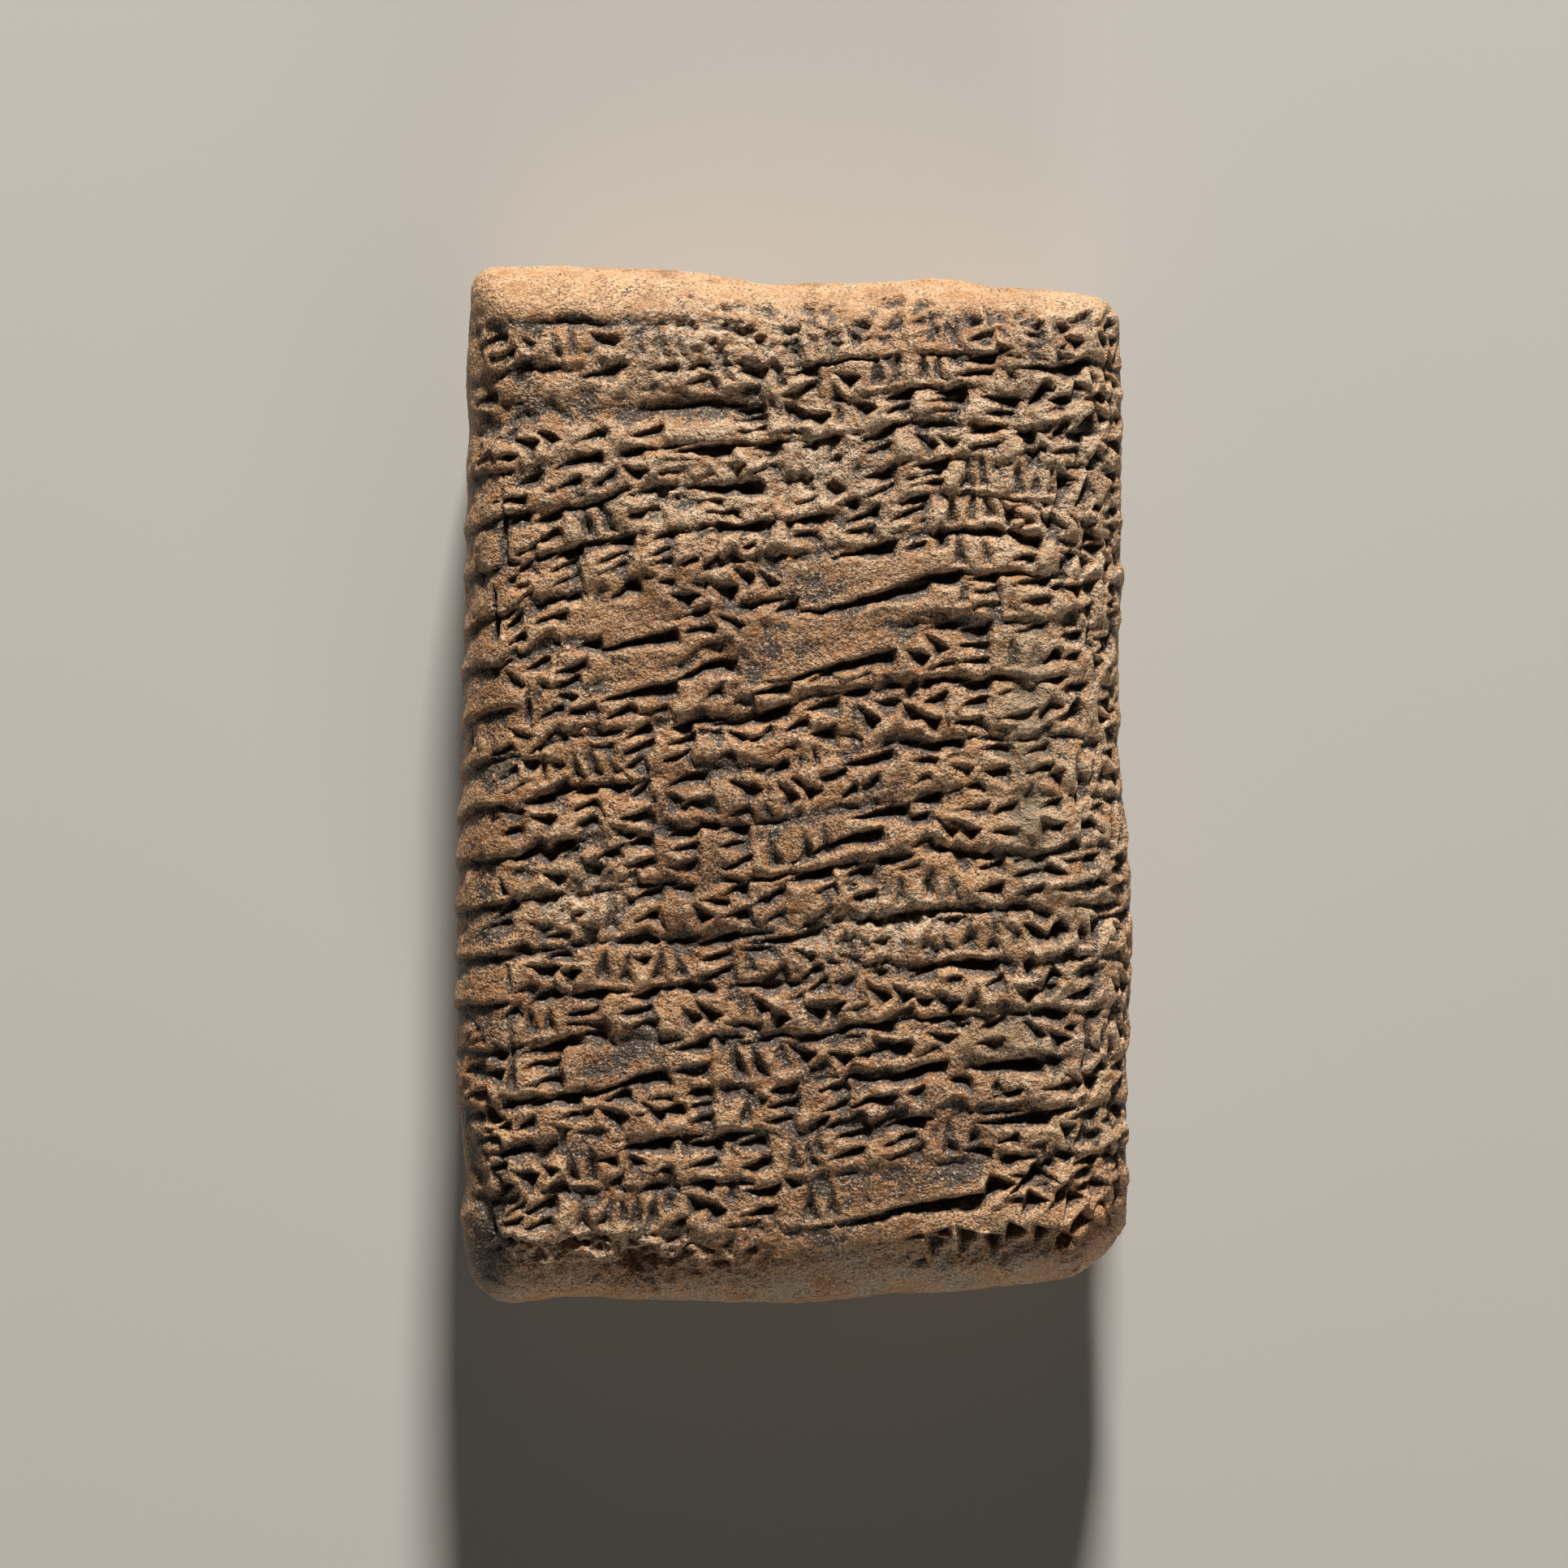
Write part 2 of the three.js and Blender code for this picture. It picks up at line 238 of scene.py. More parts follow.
face_strokes = []
for row in range(ROW_COUNT):
    row_end = MARGIN_END if row in MARGIN_ROWS else ROW_END
    face_strokes += row_of_strokes(row, row_line, ROW_START, row_end)
back_strokes = []
for row in range(BACK_ROWS):
    back_strokes += row_of_strokes(row, back_line, BACK_START, BACK_END)
face_strokes = [stroke for stroke in face_strokes if not is_blank(stroke["s"], stroke["t"])]
for s, t, length, turn in LONG_STROKES:
    face_strokes.append({"s": s, "t": t, "turn": math.radians(turn), "length": length, **LONG_STROKE})
for s, t, length in MARGIN_LINE:
    face_strokes.append({"s": s, "t": t, "length": length, **MARGIN_STROKE})

# Down the right edge the strokes are large and slanted, as the hand turned to reach round it.
edge_strokes = np.random.default_rng(13)
for row in range(ROW_COUNT):
    for column in range(EDGE_COLUMNS):
        s = EDGE_START + EDGE_PITCH * column + edge_strokes.uniform(-EDGE_SCATTER, EDGE_SCATTER)
        t = float(row_line(row + edge_strokes.uniform(0.15, 0.85), s))
        turn = math.radians(edge_strokes.choice([172, 205, 228, 250]) + edge_strokes.normal(0, 9))
        stroke = {"s": s, "t": t, "turn": turn, "length": edge_strokes.uniform(3, 4.6)}
        stroke["width"], stroke["depth"] = edge_strokes.uniform(2, 3), edge_strokes.uniform(1, 1.5)
        face_strokes.append(stroke)

# Four short upright strokes stand on a raised block near the middle of the upper half.
for s in (-7.2, -4.9, -2.4, 0):
    face_strokes.append({**press(s, 0, math.radians(266), 3.8, 1.4, 0.9), "t": 27.6 + 0.1 * s})

# How far beside a stroke's middle line its part of the sheet reaches.
FOOTPRINT_MARGIN = 1.2


def footprint(stroke, grow=0.0):
    """The sheet's cells under a stroke, and how far along and across it each of them is."""
    ds, dt = math.cos(stroke["turn"]), math.sin(stroke["turn"])
    reach = stroke["length"] + stroke["width"] + grow
    spans = []
    for cells, start, step in ((sheet_t, stroke["t"], dt * reach), (sheet_s, stroke["s"], ds * reach)):
        first = start + min(0, step) - FOOTPRINT_MARGIN - grow
        last = start + max(0, step) + FOOTPRINT_MARGIN + grow
        spans.append(slice(*np.searchsorted(cells, [first, last])))
    s, t = np.meshgrid(sheet_s[spans[1]] - stroke["s"], sheet_t[spans[0]] - stroke["t"])
    return tuple(spans), s * ds + t * dt, t * ds - s * dt


# The reed leaned away from the upper edge, so the wall of a pit on that side is the steep one. The
# pit's keel lies nearer to it, by a share of the width, and rises ever faster towards the point.
STEEP_SIDE = (-0.3, 0.95)
KEEL_SHIFT = 0.29
KEEL_TO_SIDE, KEEL_TO_HEAD = 0.45, 0.2
RUN_OUT = 1.35
# How far the clay that was moved reaches out round a pit and into its mouth, and the room for it.
LIP_OUT, LIP_IN, LIP_ROOM = 0.55, 0.25, 1.2


def stamp(sheet, stroke, sharpness=0.12, lip=0.16):
    """Presses one stroke into a sheet of heights: its pit, its soft rim and the clay it moved."""
    window, a, b = footprint(stroke, LIP_ROOM)
    length, width, depth = stroke["length"], stroke["width"], stroke["depth"]
    leaning = math.cos(stroke["turn"]) * STEEP_SIDE[1] - math.sin(stroke["turn"]) * STEEP_SIDE[0]
    keel = KEEL_SHIFT * width * leaning
    to_side = KEEL_TO_SIDE * width
    reached = length * np.maximum(a / length, 0) ** RUN_OUT
    half = width / 2 * (1 - reached / length)
    inside = [half - b, half + b, np.where(a > 0, a, a * 1.5)]
    at_keel = [to_side - keel, to_side + keel, min(KEEL_TO_HEAD * length, to_side)]
    walls = np.max([-depth * e / e_keel for e, e_keel in zip(inside, at_keel)], axis=0)
    outside = -np.min(inside, axis=0)
    lip_reach = np.where(outside > 0, LIP_OUT, LIP_IN)
    pushed = sheet[window] + lip * depth * np.exp(-(outside / lip_reach) ** 2)
    near = np.maximum(sharpness - np.abs(pushed - walls), 0) / sharpness
    sheet[window] = np.minimum(pushed, walls) - near * near * sharpness / 4


def blur(sheet, radius):
    """The sheet smoothed with a bell curve of that radius."""
    ft = np.fft.fftfreq(sheet.shape[0], SHEET_CELL)[:, None]
    fs = np.fft.rfftfreq(sheet.shape[1], SHEET_CELL)
    bell = np.exp(-2 * (math.pi * radius) ** 2 * (ft * ft + fs * fs))
    return np.fft.irfft2(np.fft.rfft2(sheet) * bell, sheet.shape)


def unevenness(size, number):
    """Smooth chance unevenness with lumps about that size, from about -1 to 1 and mostly near 0."""
    field = blur(np.random.default_rng(number).standard_normal((len(sheet_t), len(sheet_s))), size / 3)
    return field / (2 * field.std())


def patch(s, t, half_s, half_t, edge=0.35, turn=0.0):
    """1 inside an oval patch of the sheet, fading to 0 over its edge."""
    ds, dt = grid_s - s, grid_t - t
    c, n = math.cos(math.radians(turn)), math.sin(math.radians(turn))
    out = np.hypot((ds * c + dt * n) / half_s, (dt * c - ds * n) / half_t)
    return 1 / (1 + np.exp((out - 1) / (edge / 2)))


grid_s, grid_t = np.meshgrid(sheet_s, sheet_t)


# The smaller strokes fill what the larger ones left free, wherever one fits.
chance = np.random.default_rng(7)
TRIES_PER_MM = 5
MOST_TAKEN = 0.16
# Of each ten, six lie along the row, one stands, and the others slant.
LYING, STANDING = 0.62, 0.74


def small_strokes(taken, rows, start, end):
    """Small strokes in the gaps: a place in a row is tried, and taken if little of it is used."""
    found = []
    for row in rows:
        for _ in range(int(abs(end - start) * TRIES_PER_MM)):
            s = chance.uniform(min(start, end), max(start, end))
            down = chance.uniform(0.08, 0.95)
            t = row_line(row, s) * (1 - down) + row_line(row + 1, s) * down
            lean = math.degrees(math.atan(row_line(row, s + 1) - row_line(row, s)))
            kind = chance.random()
            if kind < LYING:
                turn = 180 + chance.normal(0, 8)
                length, width = chance.uniform(2.4, 5), chance.uniform(1.5, 2.4)
            elif kind < STANDING:
                turn = 90 + chance.normal(0, 9)
                length, width = chance.uniform(2, 3.8), chance.uniform(1.4, 2.3)
            else:
                turn = chance.uniform(112, 158)
                length, width = chance.uniform(2.2, 4), chance.uniform(1.6, 2.6)
            turn = math.radians(turn + lean)
            stroke = press(s, down, turn, length, width, chance.uniform(0.5, 1.0))
            stroke["t"] = t
            window, a, b = footprint(stroke)
            within = (a > -0.2) & (a < length) & (np.abs(b) < width * 0.45 * (1 - a / length) + 0.12)
            if within.sum() and taken[window][within].mean() < MOST_TAKEN:
                taken[window][within] = True
                found.append(stroke)
    return found


taken = np.zeros(grid_s.shape, bool)
for cs, ct, half_s, half_t in BLANKS:
    taken |= (np.abs(grid_s - cs) < half_s) & (np.abs(grid_t - ct) < half_t)
for stroke in face_strokes:
    window, a, b = footprint(stroke)
    length, width = stroke["length"], stroke["width"]
    taken[window] |= (a > -0.3) & (a < length) & (np.abs(b) < width * 0.42 * (1 - a / length) + 0.15)
beside_margin = [row for row in range(ROW_COUNT) if row not in MARGIN_ROWS]
order = face_strokes + small_strokes(taken, range(ROW_COUNT), MARGIN_END, ROW_START)
order += small_strokes(taken, beside_margin, ROW_END, MARGIN_END)
chance.shuffle(order)
cuts = np.zeros(grid_s.shape)
for stroke in order:
    stamp(cuts, stroke)

# Along the rows the clay swells, and between them the edge of the hand has drawn a faint hollow.
ROW_SWELL, SWELL_CHANGE = 0.5, 0.35
row_numbers = np.arange(-1, ROW_COUNT + 2)
row_lines = np.array([row_line(row, sheet_s) for row in row_numbers])
row_at = np.array([np.interp(-sheet_t, -lines, row_numbers) for lines in row_lines.T]).T
written = (row_at > -0.2) & (row_at < ROW_COUNT + 0.1) & (grid_s < ROW_START + 2) & (grid_s > -34.6)
written = blur(written.astype(float), 0.8)
down_row = row_at - np.floor(row_at)
swell = np.clip(down_row / 0.6, 0, 1) ** 0.7 * (1 - np.clip((down_row - 0.8) / 0.2, 0, 1) ** 2)
swell = blur(swell, 0.25)
face_relief = written * (ROW_SWELL + SWELL_CHANGE * unevenness(6, 21)) * (swell - 0.8)

# Under each row runs the line that its lowest strokes and the next row's upper ones have drawn.
UNDERLINE_DEPTH = 0.45
under = np.exp(-((row_at - np.round(row_at - 0.04) - 0.04) / 0.05) ** 2)
face_relief -= UNDERLINE_DEPTH * written * under * np.clip(0.35 + 0.9 * unevenness(5, 22), 0, 1)

# The margin blocks left of the scored line are plain slabs, each with a sharp step down below it.
SLAB_RISE, SLAB_DROP, PARTING_DEPTH = 0.6, 0.45, 0.25
margin_rows = (row_at > MARGIN_ROWS.start) & (row_at < MARGIN_ROWS.stop)
in_margin = blur(((grid_s < MARGIN_END - 0.6) & margin_rows).astype(float), 0.4)
parting = np.exp(-((row_at - np.round(row_at)) / 0.04) ** 2)
slab = blur(down_row * (down_row < 0.95), 0.12)
face_relief += in_margin * (SLAB_RISE * slab - SLAB_DROP - PARTING_DEPTH * parting - face_relief)

# The clay between the strokes was lumpy before it was written on.
CREASE_DEPTH = 0.3
lumps = 0.24 * unevenness(2.4, 44) + 0.16 * unevenness(1.1, 45)
face_relief += written * (1 - 0.5 * in_margin) * lumps
creases = np.exp(-((unevenness(2.2, 46) / 0.1) ** 2)) * np.clip(unevenness(3, 47), 0, 1)
face_relief -= CREASE_DEPTH * written * creases

# The blanks stayed plain slabs, that rise a little towards the long stroke below each of them.
SLAB_TURN, SLAB_SLOPE, SLAB_SINK, SLAB_SHARE = 7, 0.07, 0.05, 0.8
for s, t, half_s, half_t in PLAIN_SLABS:
    plain = SLAB_SHARE * patch(s, t, half_s, half_t, 0.25, SLAB_TURN)
    tilt = (grid_s - s) * math.sin(math.radians(SLAB_TURN)) - (grid_t - t)
    face_relief += plain * (SLAB_SLOPE * tilt - SLAB_SINK - face_relief)
face_relief += 0.95 * cuts


def rub_down(sheet, radius, share):
    """The sheet with its edges rounded: what stands proud of the clay round it is rubbed down."""
    return sheet - share * np.maximum(0, sheet - blur(sheet, radius))


face_relief = rub_down(face_relief, 0.4, 0.42)

# ---- Its wear and damage ------------------------------------------------------------------------
# Long burial and handling: rubbed and crumbled patches, hairline cracks from drying, pits where
# grit fell out, and hollows where the clay was pressed in or washed away.

# Crumbled patches, where the strokes are nearly lost in grit: s, t, half sizes, turn in degrees.
CRUMBLED = [
    (-8.5, 45.2, 9.5, 3.6, 12), (-12, 29, 3.2, 3, 0), (-21, -12, 4, 2.5, 0), (9, -14, 8, 3, 10),
    (-20, -46.5, 10, 2.2, 0), (2, 33, 5, 3, 30),
]
crumbled = 0
for s, t, half_s, half_t, turn in CRUMBLED:
    worn = patch(s, t, half_s, half_t, 0.5, turn)
    face_relief += worn * (0.55 * (blur(face_relief, 0.6) - face_relief) - 0.12)
    crumbled = crumbled + worn
crumbled = np.clip(crumbled, 0, 1)
grit = unevenness(0.55, 31) * 0.2 + unevenness(1.2, 32) * 0.22
face_relief += grit * (0.18 + 0.82 * crumbled)

# Soil from the ground, smeared over the strokes down the right side, fills them up.
soiled = patch(24.2, 8.5, 2.2, 8, 0.6, 4) + patch(23.4, -4, 1.8, 4, 0.6)
soiled = np.clip(soiled + patch(21, -25, 3.5, 2, 0.6, 30), 0, 1)
soiled *= np.clip(0.75 + 0.5 * unevenness(3, 35), 0, 1)
filled = np.maximum(face_relief, blur(face_relief, 1.2) - 0.1)
face_relief += soiled * (filled - face_relief)

# Pressed and eroded hollows, and the raised block in the middle: s, t, half sizes, height, turn.
HOLLOWS = [
    (-18, 37.6, 15, 2.1, -0.8, 5), (-11.8, 29.4, 2.4, 2.2, -0.6, 0), (-3, 25.8, 5.8, 2.6, 0.45, 8),
    (-27, 49.5, 6, 3, 0.4, 0), (-30, 38.5, 3, 3.2, -0.7, 0), (20, -47.4, 7, 1.3, -0.8, 4),
    (-20, -47.6, 9, 1.3, -0.6, 2),
]
for s, t, half_s, half_t, height, turn in HOLLOWS:
    face_relief += height * patch(s, t, half_s, half_t, 0.5, turn)

# Large slanted strokes end the last row on the right, and below them is a row of deep pits: s, t,
# turn in degrees, length, width, depth.
LAST_STROKES = [
    (20.6, -40.4, 242, 3.6, 2.6, 1.4), (25.6, -39.6, 212, 4.6, 3.2, 1.8), (24.6, -42.0, 236, 3.6, 2.6, 1.5),
    (28.9, -42.2, 238, 3.8, 2.6, 1.5), (32, -41.2, 236, 3.6, 2.4, 1.4), (30.4, -44.6, 214, 4.4, 2.6, 1.4),
    (15.6, -45.6, 184, 4.6, 1.2, 1.0), (14.2, -45.8, 262, 3.0, 2.2, 1.6), (17.4, -45.3, 250, 3.6, 2.8, 2.2),
    (20.0, -45.9, 268, 3.4, 2.6, 2.2), (22.6, -45.2, 236, 3.2, 2.4, 1.9), (25.0, -45.4, 256, 2.8, 2.2, 1.7),
    (21.4, -48.2, 250, 2.2, 1.8, 1.3), (13.4, -48.8, 186, 2.6, 1.0, 1.0), (28, -46.6, 226, 3.0, 2.2, 1.4),
    (32.6, -46.2, 228, 5.0, 3.6, 1.8), (35.8, -45, 214, 4.6, 3.4, 1.7), (30.2, -49.4, 198, 4.4, 2.8, 1.4),
    (34.6, -49.4, 238, 4.4, 3.0, 1.6), (37.6, -48.2, 220, 4.6, 3.2, 1.5),
]
FOOT_HOLES = [
    (-13.2, -46.8, 188, 5.4, 2.4, 1.8), (-6.4, -47.9, 182, 2.8, 1.4, 1.4), (-21.6, -46, 192, 2.8, 1.6, 1.2),
    (-10.4, -46, 248, 2.2, 1.6, 1.2), (-14.6, -49.8, 180, 2.6, 1, 0.9), (-25.4, -46.8, 200, 2.4, 1.4, 1),
    (-17.2, -45.4, 262, 2.6, 1.6, 1.3), (-3.6, -46.2, 186, 2.6, 1.2, 0.9),
]
FAINT_STROKES, FOOT_FLAKES = 46, 56


def stamp_listed(holes):
    """Presses a list of strokes into the face: s, t, turn in degrees, length, width, depth."""
    for s, t, turn, length, width, depth in holes:
        hole = {"s": s, "t": t, "turn": math.radians(turn), "length": length, "width": width}
        stamp(face_relief, {**hole, "depth": depth})


stamp_listed(LAST_STROKES)

# Above the first row, on the right, shallow strokes are nearly rubbed away.
for _ in range(FAINT_STROKES):
    faint = {"s": edge_strokes.uniform(-6, 35), "t": edge_strokes.uniform(45, 50.2), "length": 3.2}
    faint["turn"] = math.radians(edge_strokes.choice([180, 198, 250, 268]) + edge_strokes.normal(0, 8))
    faint["width"], faint["depth"] = edge_strokes.uniform(1.8, 3), edge_strokes.uniform(0.5, 0.9)
    stamp(face_relief, faint)

# On the left the foot is eroded to a rough ledge with holes in it, and its corner is chipped flat.
rough_foot = np.clip(patch(-18, -48.2, 12.5, 3.0, 0.5) + patch(33, -49, 7, 6, 0.6), 0, 1)
furrows = np.exp(-((unevenness(2.6, 37) / 0.16) ** 2))
face_relief += rough_foot * (0.7 * unevenness(2.4, 36) - 0.7 * furrows)
for _ in range(FOOT_FLAKES):
    flake = {"s": edge_strokes.uniform(-29, -5), "t": edge_strokes.uniform(-51, -45.6)}
    flake["turn"], flake["length"] = edge_strokes.uniform(0, math.tau), edge_strokes.uniform(1.4, 3.4)
    flake["width"], flake["depth"] = edge_strokes.uniform(1.2, 2.6), edge_strokes.uniform(0.4, 0.9)
    stamp(face_relief, flake)
stamp_listed(FOOT_HOLES)
face_relief -= 1.1 * patch(-31.4, -46.8, 1.9, 4.4, 0.4, -16)

# A small ring was pressed in near the right edge.
RING_S, RING_T, RING_RADIUS, RING_WIDTH, RING_DEPTH = 23.8, 27.4, 1.8, 0.3, 0.5
off_ring = np.hypot(grid_s - RING_S, grid_t - RING_T) - RING_RADIUS
face_relief -= RING_DEPTH * np.exp(-((off_ring / RING_WIDTH) ** 2))

# Hairline cracks: each wanders on from its start: s, t, heading in degrees, length.
CRACKS = [
    (-1.4, 50, 268, 8), (12, -49.3, 8, 4), (2, -44.6, 352, 6), (-14, 4, 280, 9), (16, 8, 262, 12),
    (-24, -16, 275, 7), (6, 38, 250, 6), (-6, -20, 268, 8), (20, -22, 255, 9), (-30, 8, 300, 5),
    (28, 30, 280, 10), (-9, 24, 290, 5),
]
CRACK_STEP, CRACK_WANDER = 0.5, 22
CRACK_CUT = {"length": 0.75, "width": 0.22, "depth": 0.3}
for number, (s, t, heading, length) in enumerate(CRACKS):
    wander = np.random.default_rng(100 + number)
    for _ in range(int(length / CRACK_STEP)):
        crack = {"s": s, "t": t, "turn": math.radians(heading), **CRACK_CUT}
        stamp(face_relief, crack, sharpness=0.05, lip=0.0)
        s += CRACK_STEP * math.cos(math.radians(heading))
        t += CRACK_STEP * math.sin(math.radians(heading))
        heading += wander.normal(0, CRACK_WANDER)

# Hands and years have drawn every line a little off true.
face_relief += 0.14 * unevenness(9, 41) + 0.1 * unevenness(3, 42) + 0.05 * unevenness(1.3, 43)
DRIFT = [0.35 * unevenness(5, number) + 0.12 * unevenness(1.2, number + 2) for number in (51, 52)]


def read_sheet(sheet, s, t):
    """The height of a sheet at places between its cells."""
    j = np.clip((s - sheet_s[0]) / SHEET_CELL, 0, len(sheet_s) - 1.001)
    i = np.clip((t - sheet_t[0]) / SHEET_CELL, 0, len(sheet_t) - 1.001)
    j0, i0 = j.astype(int), i.astype(int)
    fj, fi = j - j0, i - i0
    low = sheet[i0, j0] * (1 - fj) + sheet[i0, j0 + 1] * fj
    high = sheet[i0 + 1, j0] * (1 - fj) + sheet[i0 + 1, j0 + 1] * fj
    return low * (1 - fi) + high * fi


face_relief = read_sheet(face_relief, grid_s + DRIFT[0], grid_t + DRIFT[1])

# The back: a few rows that end the text, pressed more lightly, and the rest left smooth.
BACK_PRESSURE = 0.5
back_relief = np.zeros(grid_s.shape)
for stroke in back_strokes:
    stamp(back_relief, {**stroke, "depth": stroke["depth"] * BACK_PRESSURE})
back_relief = rub_down(rub_down(back_relief, 0.7, 0.55), 0.3, 0.6)
back_relief += 0.14 * unevenness(9, 61) + 0.09 * unevenness(3, 62) + 0.06 * unevenness(0.9, 63)

# Small round pits all over, where grit and bits of straw came out of the clay.
FACE_PITS, BACK_PITS = 500, 900
SMALLEST_PIT, PIT_DEPTH = 0.16, 0.6
fallen = np.random.default_rng(71)
for sheet, count in ((face_relief, FACE_PITS), (back_relief, BACK_PITS)):
    for s, t in zip(fallen.uniform(-45, 45, count), fallen.uniform(-61, 61, count)):
        size = SMALLEST_PIT / fallen.uniform(0.3, 1)
        grain = {"s": s, "t": t, "turn": fallen.uniform(0, math.tau), "length": 1, "width": 1}
        window, a, b = footprint(grain)
        sheet[window] -= PIT_DEPTH * size * np.exp(-((a - 0.5) ** 2 + 2 * b * b) / size**2)

# ---- Its mesh -----------------------------------------------------------------------------------
# The one lump that all of this is in. A block of small squares is wrapped round the flat middle and
# shaped by hand, as the solid was, then its skin is moved in and out by the two sheets of heights.

LARGE_CELL = 1.25
HALVINGS = 3
MOST_TRIANGLES = 196000
# How far the clay stays within the solid's box, on every side.
INSET = 0.02
FACE, BACK = 0, 1

unwrapped = MIDDLE + ROUNDING * [-math.pi / 4, math.pi / 4]
unwrapped_size = unwrapped[:, 1] - unwrapped[:, 0]
block = bmesh.new()
bmesh.ops.create_cube(block, size=1)
bmesh.ops.scale(block, vec=unwrapped_size, verts=block.verts)
bmesh.ops.translate(block, vec=unwrapped.mean(axis=1), verts=block.verts)
for axis, length in enumerate(unwrapped_size):
    lengthways = [e for e in block.edges if abs((e.verts[0].co - e.verts[1].co)[axis]) > 0.5 * length]
    cuts_across = round(length / LARGE_CELL) - 1
    bmesh.ops.subdivide_edges(block, edges=lengthways, cuts=cuts_across, use_grid_fill=True)
tablet = bpy.data.objects.new("tablet_clay", bpy.data.meshes.new("tablet_clay"))
bpy.context.scene.collection.objects.link(tablet)
block.to_mesh(tablet.data)
block.free()


def with_modifiers_applied(piece):
    """Gives a piece the mesh that its modifiers make, and takes them off it."""
    made = bpy.data.meshes.new_from_object(piece.evaluated_get(bpy.context.evaluated_depsgraph_get()))
    piece.modifiers.clear()
    piece.data = made
    return made


halving = tablet.modifiers.new("halving", "SUBSURF")
halving.subdivision_type = "SIMPLE"
halving.levels = halving.render_levels = HALVINGS
skin = with_modifiers_applied(tablet)
skin.name = "tablet_clay"

points = np.empty(len(skin.vertices) * 3)
skin.vertices.foreach_get("co", points)
points = points.reshape(-1, 3)
inside = np.clip(points, MIDDLE[:, 0], MIDDLE[:, 1])
slope = np.tan((points - inside) / np.where(points < inside, ROUNDING[:, 0], ROUNDING[:, 1]))
points = shape_by_hand(wrap(inside, slope))
skin.vertices.foreach_set("co", points.ravel())
skin.update()
normals = np.empty(len(skin.vertices) * 3)
skin.vertex_normals.foreach_get("vector", normals)
normals = normals.reshape(-1, 3)

# Where each point lies on the sheets. Down the straight sides, one sheet passes into the other.
face_share = (inside[:, 2] - MIDDLE[2, 0]) / (MIDDLE[2, 1] - MIDDLE[2, 0])
face_share = face_share * face_share * (3 - 2 * face_share)
in_plan = np.maximum(np.hypot(slope[:, 0], slope[:, 1]), 1e-6)


def place_on_sheet(side):
    """s and t of every point on the sheet of the face or the back, seen through the face."""
    drop = np.abs(inside[:, 2] - MIDDLE[2, 1 - side])
    places = []
    for axis in (0, 1):
        lean = np.arctan2(slope[:, axis], np.hypot(slope[:, 1 - axis], slope[:, 2]))
        bent = lean * np.where(lean < 0, ROUNDING[axis, 0], ROUNDING[axis, 1])
        places.append(inside[:, axis] + bent + drop * slope[:, axis] / in_plan)
    return places


def read_both(on_face, on_back):
    """A value at every point, from a sheet over the face and one over the back."""
    s, t = place_on_sheet(FACE)
    back_s, back_t = place_on_sheet(BACK)
    return read_sheet(on_face, s, t) * face_share + read_sheet(on_back, -back_s, back_t) * (1 - face_share)


relief = read_both(face_relief, back_relief)
points += normals * relief[:, None]
lowest = -BACK_DROP - BACK_FLAT
points[:, 2] = np.maximum(points[:, 2], lowest)

# The clay is fitted into the solid's own box, which moves no point by more than a fraction of a mm.
low, high = points.min(axis=0), points.max(axis=0)
box_low, box_high = (np.array(corner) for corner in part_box("tablet"))
box_low, box_high = box_low + INSET * MM, box_high - INSET * MM
points = box_low + (points - low) * (box_high - box_low) / (high - low)
skin.vertices.foreach_set("co", points.ravel())

# What the clay's colours go by: how deep a point lies in a pit, and where the clay is crumbled,
# smeared, handled, grey at the foot, low on the face (for painted shade), broken, dusty, or at the
# chipped corner of the foot, which is painted in shade.
POCKET = 1.1
pockets = [blur(sheet, POCKET) - sheet for sheet in (face_relief, back_relief)]
nowhere = 0 * crumbled
handled_back = np.clip(0.35 + 0.45 * unevenness(8, 64), 0, 1)
broken = np.clip(patch(33, -49, 7.5, 6.5, 0.6) + patch(-17, -48, 12, 2.4, 0.6), 0, 1)
dusty = np.clip(patch(30, 8, 9, 46, 0.4) + patch(2, 34, 30, 11, 0.5), 0, 1)
marks = {
    "pit": read_both(*pockets),
    "crumbled": read_both(crumbled, nowhere),
    "soiled": read_both(soiled, nowhere),
    "handled": read_both(1 - blur(written, 1.5), handled_back),
    "foot": read_both(1 / (1 + np.exp((grid_t + 46.3) / 0.7)), nowhere),
    # Painted shade: a share that grows towards the foot, which greys the lower face a little more.
    "low": read_both(1 / (1 + np.exp((grid_t + 12) / 6)), nowhere),
    "broken": read_both(broken, nowhere),
    # Painted shade: the chipped corner at the left of the foot, to be laid over with dark grey.
    "shaded_corner": read_both(patch(-31.5, -46.5, 3, 5, 0.4, -12), nowhere),
    "dusty": read_both(dusty, nowhere),
}
for name, mark in marks.items():
    skin.attributes.new(name, "FLOAT", "POINT").data.foreach_set("value", mark.astype(np.float32))

thinning = tablet.modifiers.new("thinning", "DECIMATE")
thinning.ratio = MOST_TRIANGLES / (2 * len(skin.polygons))
thinning.use_collapse_triangulate = True
skin = with_modifiers_applied(tablet)
skin.shade_smooth()

# ---- Its clay -----------------------------------------------------------------------------------
# Fired clay, dull and open-grained: orange-brown where it is rubbed, paler on raised places (partly
# wear, partly painted highlight), with a grey-brown skin left in the hollows, dark and pale grains of
# grit, tan dust where it crumbles and a smear of brown soil; painted shade greys the lower face and
# darkens the chipped corner of the foot.


def linear(hex_colour):
    """An sRGB hex colour as the linear values that a shader takes."""
    shares = [int(hex_colour[i : i + 2], 16) / 255 for i in (1, 3, 5)]
    return [c / 12.92 if c <= 0.04045 else ((c + 0.055) / 1.055) ** 2.4 for c in shares] + [1.0]


